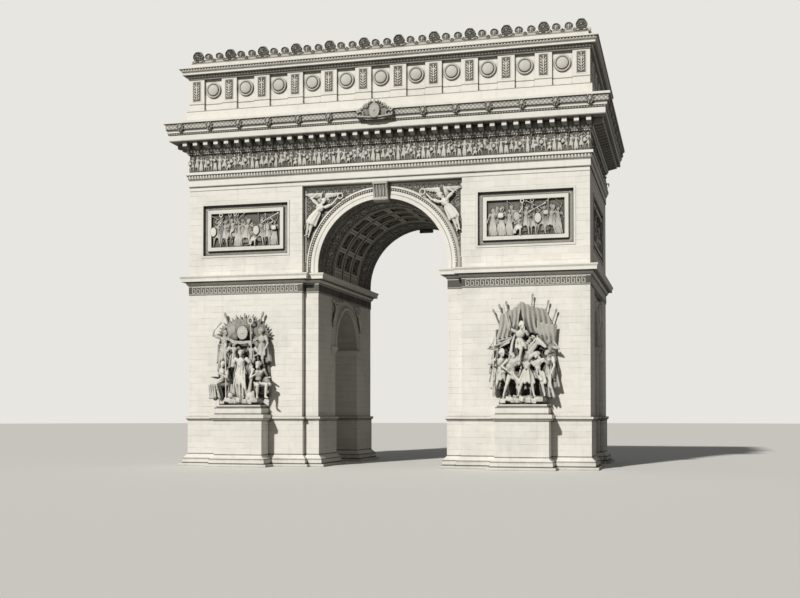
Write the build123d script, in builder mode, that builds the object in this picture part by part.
"""Triumphal arch with a main vault, two side passages, an entablature and an attic.

A scale model at 1:10. X runs along the front, Y through the main passage towards the
rear and Z up. The origin is on the ground, at the middle of the plan.
"""

import os
from math import cos, radians, sin

from build123d import *

os.makedirs("parts", exist_ok=True)

# One metre of the real arch is M millimetres of this model
M = 100.0

# Plan, all in real metres times M
HALF_WIDTH = 22.41 * M
HALF_DEPTH = 11.10 * M
MAIN_HALF = 7.31 * M
SIDE_HALF = 4.30 * M
STRIP_WIDTH = 1.65 * M
STRIP_SETBACK = 0.70 * M
BAY_WIDTH = 1.40 * M
BAY_SETBACK = 0.45 * M

# Levels above the ground, up to the impost
STRING_TOP = 5.48 * M
SIDE_SPRING = 13.60 * M
BAND_BOTTOM = 19.15 * M
IMPOST_TOP = 21.25 * M

# Levels of the arch, the entablature and the attic
MAIN_SPRING = 21.90 * M
ARCHITRAVE_BOTTOM = 30.87 * M
FRIEZE_BOTTOM = 33.00 * M
CORNICE_BOTTOM = 35.00 * M
CORONA_BOTTOM = 36.28 * M
CORNICE_TOP = 38.43 * M
ATTIC_WALL_BOTTOM = 40.00 * M
ATTIC_WALL_TOP = 43.55 * M
ATTIC_CORNICE_TOP = 44.78 * M
PARAPET_TOP = 45.52 * M
CRESTING_TOP = 46.85 * M

# Moulded edges: how far each point stands out from the wall face, and its level,
# both in real metres
PLINTH_EDGE = [
    ("start", 0.90, 0.00),
    ("flat", 0.90, 0.28),
    ("flat", 0.55, 0.28),
    ("flat", 0.55, 0.85),
    ("flat", 0.12, 1.30),
    ("flat", 0.12, 5.08),
    ("flat", 0.30, 5.24),
    ("flat", 0.30, 5.48),
]
PEDESTAL_EDGE = [
    ("start", 0.75, 0.00),
    ("flat", 0.75, 0.28),
    ("flat", 0.43, 0.28),
    ("flat", 0.43, 0.85),
    ("flat", 0.08, 1.10),
    ("flat", 0.00, 1.30),
    ("flat", 0.00, 5.02),
    ("flat", 0.12, 5.08),
    ("flat", 0.34, 5.30),
    ("flat", 0.34, 5.66),
    ("flat", -0.04, 5.72),
    ("flat", -0.04, 6.46),
    ("flat", -0.22, 6.50),
    ("flat", -0.22, 6.75),
]
SIDE_IMPOST_EDGE = [
    ("start", 0.00, 12.75),
    ("flat", 0.08, 12.75),
    ("flat", 0.08, 12.98),
    ("flat", 0.22, 13.16),
    ("flat", 0.26, 13.20),
    ("flat", 0.26, 13.52),
    ("flat", 0.00, 13.60),
]
IMPOST_EDGE = [
    ("start", 0.06, 19.15),
    ("flat", 0.06, 20.16),
    ("flat", 0.14, 20.20),
    ("flat", 0.34, 20.50),
    ("flat", 0.34, 20.60),
    ("flat", 0.74, 20.62),
    ("flat", 0.74, 20.94),
    ("flat", 0.86, 21.14),
    ("flat", 0.86, 21.25),
]
ARCHITRAVE_EDGE = [
    ("start", 0.00, 30.87),
    ("flat", 0.00, 31.38),
    ("flat", 0.08, 31.38),
    ("flat", 0.08, 32.20),
    ("cyma", 0.30, 32.66),
    ("flat", 0.36, 32.70),
    ("flat", 0.36, 33.00),
]
CORNICE_BED_EDGE = [
    ("start", 0.04, 35.00),
    ("flat", 0.04, 35.05),
    ("ovolo", 0.24, 35.22),
    ("flat", 0.30, 35.26),
    ("flat", 0.30, 36.28),
]
CORNICE_EDGE = [
    ("start", 1.62, 36.28),
    ("flat", 1.72, 36.28),
    ("flat", 1.72, 36.95),
    ("ovolo", 1.84, 37.16),
    ("flat", 1.90, 37.18),
    ("flat", 1.90, 37.42),
    ("cyma", 2.18, 38.18),
    ("flat", 2.23, 38.18),
    ("flat", 2.23, 38.43),
]
ATTIC_BASE_EDGE = [
    ("start", 0.24, 38.43),
    ("flat", 0.24, 39.90),
    ("flat", 0.10, 40.00),
]
ATTIC_CORNICE_EDGE = [
    ("start", 0.08, 43.55),
    ("flat", 0.08, 43.74),
    ("ovolo", 0.28, 43.98),
    ("flat", 0.34, 44.02),
    ("flat", 0.60, 44.02),
    ("flat", 0.60, 44.34),
    ("cyma", 0.88, 44.62),
    ("flat", 0.92, 44.62),
    ("flat", 0.92, 44.78),
]

# Pedestals of the sculpture groups
PEDESTAL_X = 15.60 * M
PEDESTAL_HALF = 2.80 * M
PEDESTAL_PROJECTION = 2.30 * M
PEDESTAL_TOP = 6.75 * M

# Main vault, its coffers and the moulded ring on each face
VAULT_OUTER = 8.70 * M
COFFER_ROWS = 9
COFFER_STEP = 19.0
COFFER_PITCH = 3.20 * M
COFFER_SINKINGS = ((1.90 * M, 0.22 * M), (1.22 * M, 0.42 * M))
COFFER_STRETCH = 1.18
ARCHIVOLT_EDGE = [
    ("start", 7.31, 0.16),
    ("flat", 8.15, 0.16),
    ("flat", 8.40, 0.40),
    ("flat", 8.70, 0.00),
]
SIDE_ARCHIVOLT_EDGE = [
    ("start", 4.30, 0.24),
    ("flat", 4.86, 0.24),
    ("flat", 5.05, 0.00),
]
KEYSTONE_HALF = 0.82 * M
KEYSTONE_BOTTOM = 28.78 * M
KEYSTONE_CAP_REACH = 1.16 * M
KEYSTONE_SIDE = (
    (0.46, 0.00),
    (0.64, 0.14),
    (0.70, 0.40),
    (0.62, 0.60),
    (0.76, 1.30),
    (0.98, 1.77),
    (1.16, 1.85),
)

# Relief panels on the upper walls
PANEL_X = 15.70 * M
PANEL_WIDTH = 10.50 * M
PANEL_END_WIDTH = 13.60 * M
PANEL_HEIGHT = 6.10 * M
PANEL_Z = 26.38 * M
PANEL_DEPTH = 0.55 * M
PANEL_PROUD = 0.06 * M
PANEL_FRAME = 0.22 * M
PANEL_FRAME_SINKING = 0.40 * M
PANEL_FRAME_TAPER = 12
PANEL_BAND = 0.46 * M
PANEL_INNER_FRAME = 0.47 * M
PANEL_INNER_FOOT = 0.34 * M
PANEL_INNER_TOP = 0.04 * M
PANEL_INNER_RISE = PANEL_INNER_FOOT - PANEL_INNER_TOP
PANEL_INNER_TAPER = 14
PANEL_FIELD_TAPER = 10

# Modillions on the face of the cornice bed, under the corona
BED_FACE = 0.30 * M
MODILLION_WIDTH = 0.50 * M
MODILLION_REACH = 1.10 * M
MODILLION_FOOT = 35.56 * M
MODILLION_NOSE = 35.80 * M
FRONT_MODILLIONS = 37
END_MODILLIONS = 19

# Crest over the middle of the cornice
CREST_BOTTOM = 37.10 * M
CREST_TOP = 39.00 * M
CREST_FACE = 13.48 * M
CREST_BACK = 12.74 * M
CREST_SIDE = (
    (0.90 * M, CREST_BOTTOM),
    (1.95 * M, CREST_BOTTOM + 0.42 * M),
    (2.05 * M, CREST_BOTTOM + 0.80 * M),
    (1.00 * M, CREST_TOP - 0.50 * M),
    (0.62 * M, CREST_TOP),
)

# Attic walls and their pilasters
ATTIC_WALL_X = 22.16 * M
ATTIC_WALL_Y = 10.85 * M
ATTIC_INSIDE_X = 20.20 * M
ATTIC_INSIDE_Y = 8.90 * M
FRONT_BAY = 3.92 * M
END_BAY = 4.10 * M
PILASTER_WIDTH = 1.80 * M
PILASTER_PROJECTION = 0.30 * M
FRONT_PILASTERS = 12
END_PILASTERS = 6
SHIELD_RADIUS = 0.86 * M
SHIELD_Z = 42.30 * M
SHIELD_THICKNESS = 0.16 * M

# Parapet and terrace
PARAPET_X = 22.30 * M
PARAPET_Y = 11.00 * M
PARAPET_THICKNESS = 0.90 * M
TERRACE_THICKNESS = 0.25 * M
CRESTING_SETBACK = 0.10 * M
CRESTING_THICKNESS = 0.45 * M
CRESTING_BAND = 0.26 * M
BIG_PALMETTE_HALF = 0.62 * M
SMALL_PALMETTE_HALF = 0.34 * M
SMALL_PALMETTE_TOP = 46.45 * M
BIG_PALMETTE = ((0.70, 0), (1, 0.50), (0.48, 1))
SMALL_PALMETTE = ((1, 0), (0.50, 1))

# Sculpture groups: the front and the side view of a draped figure, as shares of its
# height, standing with an arm raised, and seated
STANDING_FRONT = (
    (-0.16, 0),
    (0.16, 0),
    (0.10, 0.48),
    (0.21, 0.60),
    (0.15, 0.80),
    (0.05, 0.86),
    (0.06, 0.95),
    (0, 1),
    (-0.06, 0.95),
    (-0.05, 0.87),
    (-0.13, 0.85),
    (-0.25, 1.02),
    (-0.30, 0.97),
    (-0.15, 0.72),
    (-0.10, 0.52),
)
STANDING_SIDE = (
    (-0.13, 0),
    (0.15, 0),
    (0.09, 0.55),
    (0.11, 0.76),
    (0.04, 0.86),
    (0.07, 0.95),
    (0, 1.03),
    (-0.06, 0.92),
    (-0.09, 0.56),
)
SEATED_FRONT = (
    (-0.16, 0),
    (0.16, 0),
    (0.15, 0.42),
    (0.11, 0.50),
    (0.18, 0.76),
    (0.05, 0.83),
    (0.07, 0.94),
    (0, 1),
    (-0.07, 0.94),
    (-0.05, 0.83),
    (-0.18, 0.76),
    (-0.11, 0.50),
    (-0.15, 0.42),
)
SEATED_SIDE = (
    (-0.14, 0),
    (0.27, 0),
    (0.24, 0.40),
    (0.10, 0.48),
    (0.13, 0.74),
    (0.05, 0.83),
    (0.09, 0.92),
    (0, 1),
    (-0.09, 0.92),
    (-0.13, 0.46),
)

# Outlines seen from the front, in real metres from the middle of the pedestal and the
# ground: the banners behind each group, and the rearing horse
ROBED_BANNERS = (
    (-2.40, 7.60),
    (2.40, 7.60),
    (3.20, 10.60),
    (3.10, 15.50),
    (2.00, 15.20),
    (1.50, 16.50),
    (0.70, 16.30),
    (0.00, 17.40),
    (-0.70, 16.30),
    (-1.50, 16.50),
    (-2.00, 15.20),
    (-3.10, 15.50),
    (-3.20, 10.60),
)
RIDER_BANNERS = (
    (-2.40, 7.60),
    (2.40, 7.60),
    (3.50, 11.60),
    (3.80, 16.90),
    (2.40, 16.50),
    (1.20, 18.20),
    (-0.20, 16.90),
    (-1.30, 17.40),
    (-2.40, 15.90),
    (-3.80, 16.20),
    (-3.40, 11.60),
)
HORSE = (
    (-1.60, 7.60),
    (-1.10, 7.60),
    (-1.20, 9.10),
    (-0.70, 8.90),
    (-0.60, 7.60),
    (-0.10, 7.60),
    (-0.10, 9.60),
    (0.90, 10.90),
    (1.50, 10.80),
    (1.30, 11.70),
    (2.20, 12.10),
    (1.30, 12.70),
    (1.50, 13.70),
    (2.50, 13.50),
    (1.80, 15.20),
    (0.50, 14.10),
    (-1.30, 12.00),
    (-2.00, 10.90),
    (-1.90, 9.60),
)
GROUND_SIZE = (5.00 * M, 4.00 * M)
GROUND_HEIGHT = 1.15 * M
GROUND_TAPER = 12


def bowed(start, end, bow):
    """Arc that stands off its chord by bow times the chord's length."""
    run = end[0] - start[0]
    rise = end[1] - start[1]
    middle = ((start[0] + end[0]) / 2 + bow * rise, (start[1] + end[1]) / 2 - bow * run)
    ThreePointArc(start, middle, end)


def trace_edge(edge, offset=0.0):
    """Draws a moulded edge, offset from the axis, and gives its first and last points."""
    points = [(offset + projection * M, level * M) for kind, projection, level in edge]
    for (kind, _, _), here, there in zip(edge[1:], points, points[1:]):
        if kind == "flat":
            Line(here, there)
        elif kind == "ovolo":
            bowed(here, there, 0.20)
        elif kind == "cyma":
            middle = ((here[0] + there[0]) / 2, (here[1] + there[1]) / 2)
            bowed(here, middle, 0.16)
            bowed(middle, there, -0.16)
    return points[0], points[-1]


def course(x_range, y_range, edge):
    """Rectangular block whose four sides share one moulded edge, mitred at the corners."""
    centre = ((x_range[0] + x_range[1]) / 2, (y_range[0] + y_range[1]) / 2, 0)
    half_x = (x_range[1] - x_range[0]) / 2
    half_y = (y_range[1] - y_range[0]) / 2
    across = Plane(centre, x_dir=(1, 0, 0), z_dir=(0, -1, 0))
    along = Plane(centre, x_dir=(0, 1, 0), z_dir=(1, 0, 0))
    with BuildPart() as block:
        for plane, half, mode in ((across, half_x, Mode.ADD), (along, half_y, Mode.INTERSECT)):
            with BuildSketch(plane):
                with BuildLine():
                    bottom, top = trace_edge(edge, half)
                    Line(top, (0, top[1]))
                    Line((0, top[1]), (0, bottom[1]))
                    Line((0, bottom[1]), bottom)
                make_face()
                mirror(about=Plane.YZ)
            extrude(amount=half_x + half_y + 3 * M, both=True, mode=mode)
    return block.part


def ring(half_x, half_y, edge):
    """A course round the attic, open over the room inside."""
    with BuildPart() as band:
        add(course((-half_x, half_x), (-half_y, half_y), edge))
        with BuildSketch(Plane.XY.offset(CORNICE_TOP)):
            Rectangle(2 * ATTIC_INSIDE_X, 2 * ATTIC_INSIDE_Y)
        extrude(amount=CRESTING_TOP - CORNICE_TOP, mode=Mode.SUBTRACT)
    return band.part


def mirrored(part, left, front):
    """The right rear piece, or its mirror image on the left or at the front."""
    if left:
        part = mirror(part, about=Plane.YZ)
    if front:
        part = mirror(part, about=Plane.XZ)
    return part


def save(part, name):
    """Labels a finished piece and writes it."""
    part.label = name
    export_step(part, f"parts/{name}.step")


CORNERS = (
    ("front_left", True, True),
    ("front_right", False, True),
    ("rear_left", True, False),
    ("rear_right", False, False),
)
SIDES = (("left", True), ("right", False))
FACES = (("front", True), ("rear", False))

# Ranges of the right rear pier: one block set back beside the main arch, and one at
# the corner, set back beside the side arch
STRIP_X = (MAIN_HALF, HALF_WIDTH - BAY_SETBACK)
STRIP_Y = (SIDE_HALF, HALF_DEPTH - STRIP_SETBACK)
CORNER_X = (MAIN_HALF + STRIP_WIDTH, HALF_WIDTH)
CORNER_Y = (SIDE_HALF + BAY_WIDTH, HALF_DEPTH)


def plan_rectangle(x_range, y_range):
    """Adds one rectangle of a plan to the sketch at hand."""
    centre = ((x_range[0] + x_range[1]) / 2, (y_range[0] + y_range[1]) / 2)
    with Locations(centre):
        Rectangle(x_range[1] - x_range[0], y_range[1] - y_range[0])


# Pedestal of a sculpture group, against the face of the pier
with BuildPart() as pedestal:
    add(
        course(
            (PEDESTAL_X - PEDESTAL_HALF, PEDESTAL_X + PEDESTAL_HALF),
            (HALF_DEPTH - PEDESTAL_PROJECTION, HALF_DEPTH + PEDESTAL_PROJECTION),
            PEDESTAL_EDGE,
        )
    )
    split(bisect_by=Plane.XZ.offset(-HALF_DEPTH), keep=Keep.BOTTOM)

# Stepped plinth, dado and string course of a pier
with BuildPart() as plinth:
    add(course(STRIP_X, STRIP_Y, PLINTH_EDGE))
    add(course(CORNER_X, CORNER_Y, PLINTH_EDGE))
    add(pedestal.part, mode=Mode.SUBTRACT)

# Shaft of a pier up to the springing of the side arches, with their impost moulding
with BuildPart() as pier:
    with BuildSketch(Plane.XY.offset(STRING_TOP)):
        plan_rectangle(STRIP_X, STRIP_Y)
        plan_rectangle(CORNER_X, CORNER_Y)
    extrude(amount=SIDE_SPRING - STRING_TOP)
    add(course(STRIP_X, (SIDE_HALF, SIDE_HALF + BAY_WIDTH), SIDE_IMPOST_EDGE))
    add(pedestal.part, mode=Mode.SUBTRACT)


def figure(place, height, front, side, turn=0, hand=1):
    """Draped figure: the solid shared by its front view and its side view.

    The place is in real metres from the middle of the pedestal, the pier's face and the
    ground. A turn of 90 faces the figure along the pier, and a hand of -1 mirrors it.
    """
    x, y, foot = place
    origin = (PEDESTAL_X + x * M, HALF_DEPTH + y * M, foot * M)
    across = Vector(cos(radians(turn)), -sin(radians(turn)), 0)
    forward = Vector(sin(radians(turn)), cos(radians(turn)), 0)
    scale = height * M
    with BuildPart() as body:
        with BuildSketch(Plane(origin, x_dir=across, z_dir=-forward)):
            with BuildLine():
                Polyline(*[(hand * part * scale, level * scale) for part, level in front], close=True)
            make_face()
        extrude(amount=scale, both=True)
        with BuildSketch(Plane(origin, x_dir=forward, z_dir=across)):
            with BuildLine():
                Polyline(*[(part * scale, level * scale) for part, level in side], close=True)
            make_face()
        extrude(amount=scale, both=True, mode=Mode.INTERSECT)
    return body.part


def plate(outline, back, face):
    """Upright plate with an outline in real metres, between two distances from the pier."""
    with BuildPart() as slab:
        with BuildSketch(Plane.XZ.offset(-HALF_DEPTH - back * M)):
            with BuildLine():
                Polyline(*[(PEDESTAL_X + x * M, level * M) for x, level in outline], close=True)
            make_face()
        extrude(amount=-(face - back) * M)
    return slab.part


# Rough ground under a group, narrower at the top
with BuildPart() as ground:
    with BuildSketch(Plane.XY.offset(PEDESTAL_TOP)):
        with Locations((PEDESTAL_X, HALF_DEPTH)):
            Rectangle(*GROUND_SIZE)
    extrude(amount=GROUND_HEIGHT, taper=GROUND_TAPER)

# Sculpture group of the left front: a robed figure between two seated ones, with two
# standing ones and a trophy of banners behind
with BuildPart() as robed_group:
    add(ground.part)
    add(plate(ROBED_BANNERS, 0, 0.50))
    add(figure((0, 1.10, 7.80), 6.30, STANDING_FRONT, STANDING_SIDE))
    for side in (-1, 1):
        add(figure((side * 1.95, 0.95, 7.60), 4.60, SEATED_FRONT, SEATED_SIDE, side * 58))
        add(figure((side * 1.90, 0.45, 10.50), 5.20, STANDING_FRONT, STANDING_SIDE, 0, side))
    split(bisect_by=Plane.XZ.offset(-HALF_DEPTH), keep=Keep.BOTTOM)

# Sculpture group of the right front: a rearing horse with its rider between two
# standing figures, under wide banners
with BuildPart() as rider_group:
    add(ground.part)
    add(plate(RIDER_BANNERS, 0, 0.45))
    add(plate(HORSE, 0.40, 1.75))
    add(figure((-0.55, 1.25, 9.85), 5.30, STANDING_FRONT, STANDING_SIDE))
    add(figure((-2.35, 1.05, 7.60), 5.90, STANDING_FRONT, STANDING_SIDE, 0, -1))
    add(figure((2.45, 0.95, 7.60), 5.90, STANDING_FRONT, STANDING_SIDE))
    split(bisect_by=Plane.XZ.offset(-HALF_DEPTH), keep=Keep.BOTTOM)

# Block over a side passage, from its springing up to the impost
with BuildPart() as side_vault:
    with BuildSketch(Plane.XY.offset(SIDE_SPRING)):
        plan_rectangle(STRIP_X, (-STRIP_Y[1], STRIP_Y[1]))
        plan_rectangle(CORNER_X, CORNER_Y)
        plan_rectangle(CORNER_X, (-CORNER_Y[1], -CORNER_Y[0]))
    extrude(amount=BAND_BOTTOM - SIDE_SPRING)
    with BuildSketch(Plane.YZ):
        with Locations((0, SIDE_SPRING)):
            Circle(SIDE_HALF)
    extrude(amount=HALF_WIDTH, mode=Mode.SUBTRACT)

# Band and impost cornice over one side of the arch
with BuildPart() as impost:
    add(course((MAIN_HALF, HALF_WIDTH), (-STRIP_Y[1], STRIP_Y[1]), IMPOST_EDGE))
    add(course(CORNER_X, (-HALF_DEPTH, HALF_DEPTH), IMPOST_EDGE))

# Upper wall with the tunnel for the main vault and the pockets of the relief panels
with BuildPart() as upper_wall:
    with BuildSketch(Plane.XY.offset(IMPOST_TOP)):
        Rectangle(2 * HALF_WIDTH, 2 * STRIP_Y[1])
        plan_rectangle(CORNER_X, (-HALF_DEPTH, HALF_DEPTH))
        plan_rectangle((-CORNER_X[1], -CORNER_X[0]), (-HALF_DEPTH, HALF_DEPTH))
    extrude(amount=ARCHITRAVE_BOTTOM - IMPOST_TOP)
    with BuildSketch(Plane.XZ):
        with Locations((0, MAIN_SPRING)):
            Circle(VAULT_OUTER)
            Rectangle(
                2 * VAULT_OUTER,
                MAIN_SPRING - IMPOST_TOP,
                align=(Align.CENTER, Align.MAX),
            )
    extrude(amount=HALF_DEPTH, both=True, mode=Mode.SUBTRACT)
    for face in (-1, 1):
        with BuildSketch(Plane.XZ.offset(face * HALF_DEPTH)):
            with Locations((-PANEL_X, PANEL_Z), (PANEL_X, PANEL_Z)):
                Rectangle(PANEL_WIDTH, PANEL_HEIGHT)
        extrude(amount=-face * PANEL_DEPTH, mode=Mode.SUBTRACT)
        with BuildSketch(Plane.YZ.offset(face * HALF_WIDTH)):
            with Locations((0, PANEL_Z)):
                Rectangle(PANEL_END_WIDTH, PANEL_HEIGHT)
        extrude(amount=-face * PANEL_DEPTH, mode=Mode.SUBTRACT)

# Main vault, a ring of voussoirs with three lines of stepped coffers
with BuildPart() as main_vault:
    with BuildSketch(Plane.XZ):
        with Locations((0, MAIN_SPRING)):
            Circle(VAULT_OUTER)
        with Locations((0, IMPOST_TOP)):
            Rectangle(2 * VAULT_OUTER, MAIN_SPRING - IMPOST_TOP, align=(Align.CENTER, Align.MIN))
            Rectangle(
                2 * VAULT_OUTER,
                VAULT_OUTER,
                align=(Align.CENTER, Align.MAX),
                mode=Mode.SUBTRACT,
            )
            Rectangle(
                2 * MAIN_HALF,
                MAIN_SPRING - IMPOST_TOP,
                align=(Align.CENTER, Align.MIN),
                mode=Mode.SUBTRACT,
            )
        with Locations((0, MAIN_SPRING)):
            Circle(MAIN_HALF, mode=Mode.SUBTRACT)
    extrude(amount=STRIP_Y[1], both=True)
    coffer_foot = MAIN_HALF - COFFER_SINKINGS[0][1]
    for row in range(COFFER_ROWS):
        turn = 90 + (row - (COFFER_ROWS - 1) / 2) * COFFER_STEP
        outward = Vector(cos(radians(turn)), 0, sin(radians(turn)))
        for size, depth in COFFER_SINKINGS:
            foot = Vector(0, 0, MAIN_SPRING) + outward * coffer_foot
            with BuildSketch(Plane(foot, x_dir=(0, 1, 0), z_dir=outward)):
                with GridLocations(COFFER_PITCH, 0, 3, 1):
                    Rectangle(size * COFFER_STRETCH, size)
            extrude(amount=MAIN_HALF + depth - coffer_foot, mode=Mode.SUBTRACT)


def panel(width):
    """Relief panel lying on the XY plane: a sunk band between two raised frames."""
    with BuildPart() as tablet:
        with BuildSketch():
            Rectangle(width, PANEL_HEIGHT)
        extrude(amount=PANEL_DEPTH + PANEL_PROUD)
        inset = 2 * PANEL_FRAME
        with BuildSketch(Plane.XY.offset(PANEL_DEPTH + PANEL_PROUD)):
            Rectangle(width - inset, PANEL_HEIGHT - inset)
        extrude(amount=-PANEL_FRAME_SINKING, taper=PANEL_FRAME_TAPER, mode=Mode.SUBTRACT)
        inset += 2 * PANEL_BAND
        with BuildSketch(Plane.XY.offset(PANEL_DEPTH - PANEL_INNER_FOOT)):
            Rectangle(width - inset, PANEL_HEIGHT - inset)
        extrude(amount=PANEL_INNER_RISE, taper=PANEL_INNER_TAPER)
        inset += 2 * PANEL_INNER_FRAME
        with BuildSketch(Plane.XY.offset(PANEL_DEPTH - PANEL_INNER_TOP)):
            Rectangle(width - inset, PANEL_HEIGHT - inset)
        extrude(amount=-PANEL_INNER_RISE, taper=PANEL_FIELD_TAPER, mode=Mode.SUBTRACT)
    return tablet.part


def upright(part, origin, outward):
    """Stands a piece that lies on the XY plane against a wall that faces outward."""
    across = Vector(-outward[1], outward[0], 0)
    return Plane(origin, x_dir=across, z_dir=outward).location * part


# Moulded ring of the main arch, standing on the impost, and cut for the keystone
with BuildPart() as archivolt:
    with BuildSketch(Plane.XY.offset(MAIN_SPRING)) as archivolt_section:
        with BuildLine():
            inner, outer = trace_edge(ARCHIVOLT_EDGE)
            Line(outer, (inner[0], 0))
            Line((inner[0], 0), inner)
        make_face()
    revolve(axis=Axis((0, 0, MAIN_SPRING), (0, 1, 0)), revolution_arc=-180)
    extrude(archivolt_section.sketch, amount=IMPOST_TOP - MAIN_SPRING)
    extrude(
        mirror(archivolt_section.sketch, about=Plane.YZ, mode=Mode.PRIVATE),
        amount=IMPOST_TOP - MAIN_SPRING,
    )
    with BuildSketch(Plane.XZ):
        with Locations((0, KEYSTONE_BOTTOM)):
            Rectangle(
                2 * KEYSTONE_HALF,
                ARCHITRAVE_BOTTOM - KEYSTONE_BOTTOM,
                align=(Align.CENTER, Align.MIN),
            )
    extrude(amount=-KEYSTONE_CAP_REACH, mode=Mode.SUBTRACT)

# Keystone, a console with an abacus
with BuildPart() as keystone:
    with BuildSketch(Plane.YZ):
        with BuildLine():
            Polyline(
                (0, ARCHITRAVE_BOTTOM),
                (0, KEYSTONE_BOTTOM),
                *[(reach * M, KEYSTONE_BOTTOM + rise * M) for reach, rise in KEYSTONE_SIDE],
                (KEYSTONE_CAP_REACH, ARCHITRAVE_BOTTOM),
                close=True,
            )
        make_face()
    extrude(amount=KEYSTONE_HALF, both=True)

# Moulded ring of a side arch
with BuildPart() as side_archivolt:
    with BuildSketch(Plane.XY.offset(SIDE_SPRING)):
        with BuildLine():
            inner, outer = trace_edge(SIDE_ARCHIVOLT_EDGE)
            Line(outer, (inner[0], 0))
            Line((inner[0], 0), inner)
        make_face()
    revolve(axis=Axis((0, 0, SIDE_SPRING), (0, 1, 0)), revolution_arc=-180)

# One modillion, a small console that carries the corona, square to the front
with BuildPart() as modillion:
    with BuildSketch(Plane.YZ):
        with BuildLine():
            Polyline(
                (0, CORONA_BOTTOM),
                (0, MODILLION_FOOT),
                (MODILLION_REACH, MODILLION_NOSE),
                (MODILLION_REACH, CORONA_BOTTOM),
                close=True,
            )
        make_face()
    extrude(amount=MODILLION_WIDTH / 2, both=True)


def even_places(count, pitch):
    """Places of count things on a line, centred on zero."""
    return [(index - (count - 1) / 2) * pitch for index in range(count)]


front_modillion_places = even_places(FRONT_MODILLIONS, 2 * HALF_WIDTH / (FRONT_MODILLIONS - 1))
end_modillion_places = even_places(END_MODILLIONS, 2 * HALF_DEPTH / (END_MODILLIONS - 1))
modillion_places = []
for x in front_modillion_places:
    modillion_places.append(Location((x, HALF_DEPTH + BED_FACE, 0)))
    modillion_places.append(Location((x, -HALF_DEPTH - BED_FACE, 0), (0, 0, 180)))
for y in end_modillion_places:
    modillion_places.append(Location((HALF_WIDTH + BED_FACE, y, 0), (0, 0, -90)))
    modillion_places.append(Location((-HALF_WIDTH - BED_FACE, y, 0), (0, 0, 90)))

# Entablature: architrave, frieze, cornice bed with modillions, corona with its crown
FULL_X = (-HALF_WIDTH, HALF_WIDTH)
FULL_Y = (-HALF_DEPTH, HALF_DEPTH)
with BuildPart() as architrave:
    add(course(FULL_X, FULL_Y, ARCHITRAVE_EDGE))

with BuildPart() as frieze:
    with BuildSketch(Plane.XY.offset(FRIEZE_BOTTOM)):
        Rectangle(2 * HALF_WIDTH, 2 * HALF_DEPTH)
    extrude(amount=CORNICE_BOTTOM - FRIEZE_BOTTOM)

with BuildPart() as cornice_bed:
    add(course(FULL_X, FULL_Y, CORNICE_BED_EDGE))
    with Locations(*modillion_places):
        add(modillion.part)

with BuildPart() as cornice:
    add(course(FULL_X, FULL_Y, CORNICE_EDGE))

# Crest over the middle of the cornice: a scrolled block that laps the crown moulding
with BuildPart() as crest:
    with BuildSketch(Plane.XZ.offset(-CREST_BACK)):
        with BuildLine():
            Polyline(
                (0, CREST_TOP),
                (0, CREST_BOTTOM),
                *CREST_SIDE,
                close=True,
            )
        make_face()
        mirror(about=Plane.YZ)
    extrude(amount=CREST_BACK - CREST_FACE)
    add(cornice.part, mode=Mode.SUBTRACT)

# Attic: base, four walls with pilasters, cornice, terrace and parapets with cresting
PILASTER_X = ATTIC_WALL_X + PILASTER_PROJECTION
PILASTER_Y = ATTIC_WALL_Y + PILASTER_PROJECTION
with BuildPart() as attic_base:
    add(ring(PILASTER_X, PILASTER_Y, ATTIC_BASE_EDGE))

with BuildPart() as attic_cornice:
    add(ring(PILASTER_X, PILASTER_Y, ATTIC_CORNICE_EDGE))


def pilasters(places, width, bottom, top, projection):
    """Upright strips that stand out from a wall's face, which is the plane Y = 0."""
    with BuildPart() as strips:
        with BuildSketch(Plane.XZ):
            with Locations(*[(x, bottom) for x in places]):
                Rectangle(width, top - bottom, align=(Align.CENTER, Align.MIN))
        extrude(amount=-projection)
    return strips.part


def attic_wall(bay, pilaster_count, half_length, depth):
    """Attic wall facing +Y, with its face on the plane Y = 0."""
    places = even_places(pilaster_count, bay)
    bays = even_places(pilaster_count - 1, bay)
    with BuildPart() as wall:
        with BuildSketch(Plane.XZ):
            with Locations((0, ATTIC_WALL_BOTTOM)):
                Rectangle(
                    2 * half_length,
                    ATTIC_WALL_TOP - ATTIC_WALL_BOTTOM,
                    align=(Align.CENTER, Align.MIN),
                )
        extrude(amount=depth)
        add(pilasters(places, PILASTER_WIDTH, ATTIC_WALL_BOTTOM, ATTIC_WALL_TOP, PILASTER_PROJECTION))
        with BuildSketch(Plane.XZ):
            with Locations(*[(x, SHIELD_Z) for x in bays]):
                RegularPolygon(SHIELD_RADIUS, 8)
        extrude(amount=-SHIELD_THICKNESS)
    return wall.part


WALL_THICKNESS_Y = ATTIC_WALL_Y - ATTIC_INSIDE_Y
WALL_THICKNESS_X = ATTIC_WALL_X - ATTIC_INSIDE_X
with BuildPart() as attic_front_wall:
    add(attic_wall(FRONT_BAY, FRONT_PILASTERS, ATTIC_WALL_X, WALL_THICKNESS_Y))
    for side in (-1, 1):
        with BuildSketch(Plane.XY.offset(ATTIC_WALL_BOTTOM)):
            with Locations((side * PILASTER_X, PILASTER_PROJECTION)):
                Rectangle(
                    PILASTER_PROJECTION,
                    PILASTER_WIDTH,
                    align=(Align.MAX if side > 0 else Align.MIN, Align.MAX),
                )
        extrude(amount=ATTIC_WALL_TOP - ATTIC_WALL_BOTTOM)

with BuildPart() as attic_end_wall:
    add(attic_wall(END_BAY, END_PILASTERS - 2, ATTIC_INSIDE_Y, WALL_THICKNESS_X))

with BuildPart() as terrace:
    with BuildSketch(Plane.XY.offset(ATTIC_CORNICE_TOP)):
        Rectangle(2 * (PARAPET_X - PARAPET_THICKNESS), 2 * (PARAPET_Y - PARAPET_THICKNESS))
    extrude(amount=TERRACE_THICKNESS)


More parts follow.
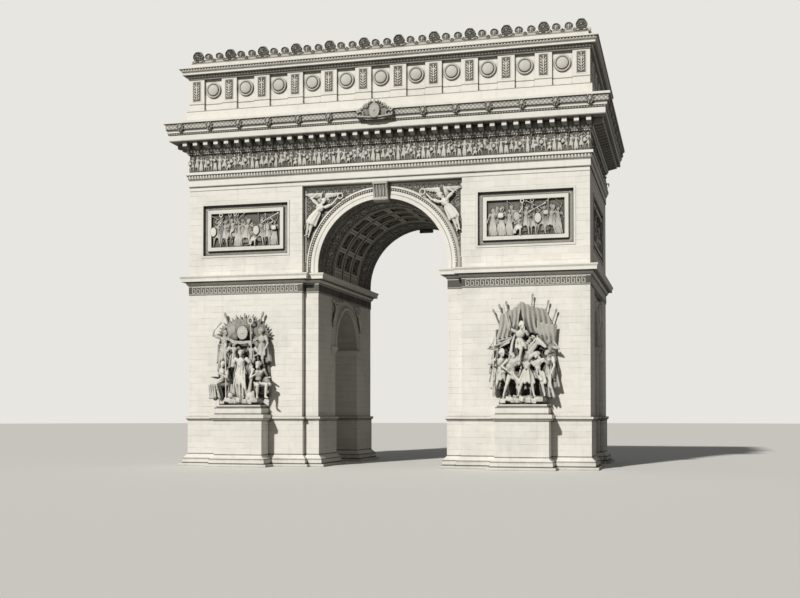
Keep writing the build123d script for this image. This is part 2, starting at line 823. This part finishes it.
def cresting(half_length, big_places, small_places):
    """Outline of the cresting: a low band with big and small palmettes rising from it."""
    leaves = [(x, BIG_PALMETTE_HALF, CRESTING_TOP, BIG_PALMETTE) for x in big_places]
    leaves += [(x, SMALL_PALMETTE_HALF, SMALL_PALMETTE_TOP, SMALL_PALMETTE) for x in small_places]
    band_top = PARAPET_TOP + CRESTING_BAND
    points = [(-half_length, PARAPET_TOP), (-half_length, band_top)]
    for x, half_width, top, side in sorted(leaves):
        rise = top - band_top
        points += [(x - part * half_width, band_top + level * rise) for part, level in side]
        points += [(x + part * half_width, band_top + level * rise) for part, level in reversed(side)]
    points += [(half_length, band_top), (half_length, PARAPET_TOP)]
    with BuildSketch(mode=Mode.PRIVATE) as board:
        with BuildLine():
            Polyline(*points, close=True)
        make_face()
    return board.sketch


def parapet(half_length, big_places, small_places):
    """Parapet wall facing +Y with its cresting, its face on the plane Y = 0."""
    with BuildPart() as wall:
        with BuildSketch(Plane.XZ):
            with Locations((0, ATTIC_CORNICE_TOP)):
                Rectangle(
                    2 * half_length,
                    PARAPET_TOP - ATTIC_CORNICE_TOP,
                    align=(Align.CENTER, Align.MIN),
                )
        extrude(amount=PARAPET_THICKNESS)
        with BuildSketch(Plane.XZ.offset(CRESTING_SETBACK)):
            add(cresting(half_length, big_places, small_places))
        extrude(amount=CRESTING_THICKNESS)
    return wall.part


front_places = even_places(FRONT_PILASTERS, FRONT_BAY)
end_places = even_places(END_PILASTERS, END_BAY)[1:-1]
front_bays = even_places(FRONT_PILASTERS - 1, FRONT_BAY)
end_bays = even_places(END_PILASTERS - 1, END_BAY)
front_small = [x + side * FRONT_BAY / 6 for x in front_bays for side in (-1, 1)]
end_small = [x + side * END_BAY / 6 for x in end_bays for side in (-1, 1)]
with BuildPart() as parapet_front:
    add(parapet(PARAPET_X, front_places, front_small))

with BuildPart() as parapet_end:
    add(parapet(PARAPET_Y - PARAPET_THICKNESS, end_places, end_small))

# Corner pieces in their four places
for corner, left, front in CORNERS:
    save(mirrored(plinth.part, left, front), f"plinth_{corner}")
    save(mirrored(pier.part, left, front), f"pier_{corner}")
    save(mirrored(pedestal.part, left, front), f"pedestal_{corner}")
    group = robed_group if left == front else rider_group
    save(mirrored(group.part, left, front), f"sculpture_{corner}")

# Pieces that repeat on the left and the right
for name, left in SIDES:
    save(mirrored(side_vault.part, left, False), f"side_vault_{name}")
    save(mirrored(impost.part, left, False), f"impost_{name}")

# Pieces that repeat at the front and the rear
BAY_FACE = HALF_DEPTH - STRIP_SETBACK
for name, front in FACES:
    save(mirrored(Pos(0, BAY_FACE, 0) * archivolt.part, False, front), f"archivolt_{name}")
    save(mirrored(Pos(0, ATTIC_WALL_Y, 0) * attic_front_wall.part, False, front), f"attic_wall_{name}")
    save(mirrored(Pos(0, PARAPET_Y, 0) * parapet_front.part, False, front), f"parapet_{name}")
    panels = [
        upright(
            panel(PANEL_WIDTH),
            (side * PANEL_X, HALF_DEPTH - PANEL_DEPTH, PANEL_Z),
            (0, 1, 0),
        )
        for side in (-1, 1)
    ]
    save(mirrored(Compound(children=panels), False, front), f"relief_panels_{name}")

turned_end_wall = Pos(ATTIC_WALL_X, 0, 0) * Rot(0, 0, -90) * attic_end_wall.part
turned_parapet = Pos(PARAPET_X, 0, 0) * Rot(0, 0, -90) * parapet_end.part
end_panel = upright(panel(PANEL_END_WIDTH), (HALF_WIDTH - PANEL_DEPTH, 0, PANEL_Z), (1, 0, 0))
for name, left in SIDES:
    save(mirrored(turned_end_wall, left, False), f"attic_wall_{name}")
    save(mirrored(turned_parapet, left, False), f"parapet_{name}")
    save(mirrored(end_panel, left, False), f"relief_panel_{name}")

# Single pieces and sets
save(upper_wall.part, "upper_wall")
save(main_vault.part, "main_vault")
save(architrave.part, "architrave")
save(frieze.part, "frieze")
save(cornice_bed.part, "cornice_bed")
save(cornice.part, "cornice")
save(attic_base.part, "attic_base")
save(attic_cornice.part, "attic_cornice")
save(terrace.part, "terrace")
keystones = [mirrored(Pos(0, BAY_FACE, 0) * keystone.part, False, front) for _, front in FACES]
save(Compound(children=keystones), "keystones")
crests = [mirrored(crest.part, False, front) for _, front in FACES]
save(Compound(children=crests), "cornice_crests")

outer_ring = Pos(HALF_WIDTH - BAY_SETBACK, 0, 0) * Rot(0, 0, -90) * side_archivolt.part
inner_ring = Pos(MAIN_HALF, 0, 0) * Rot(0, 0, 90) * side_archivolt.part
side_rings = [mirrored(piece, left, False) for _, left in SIDES for piece in (outer_ring, inner_ring)]
save(Compound(children=side_rings), "side_archivolts")
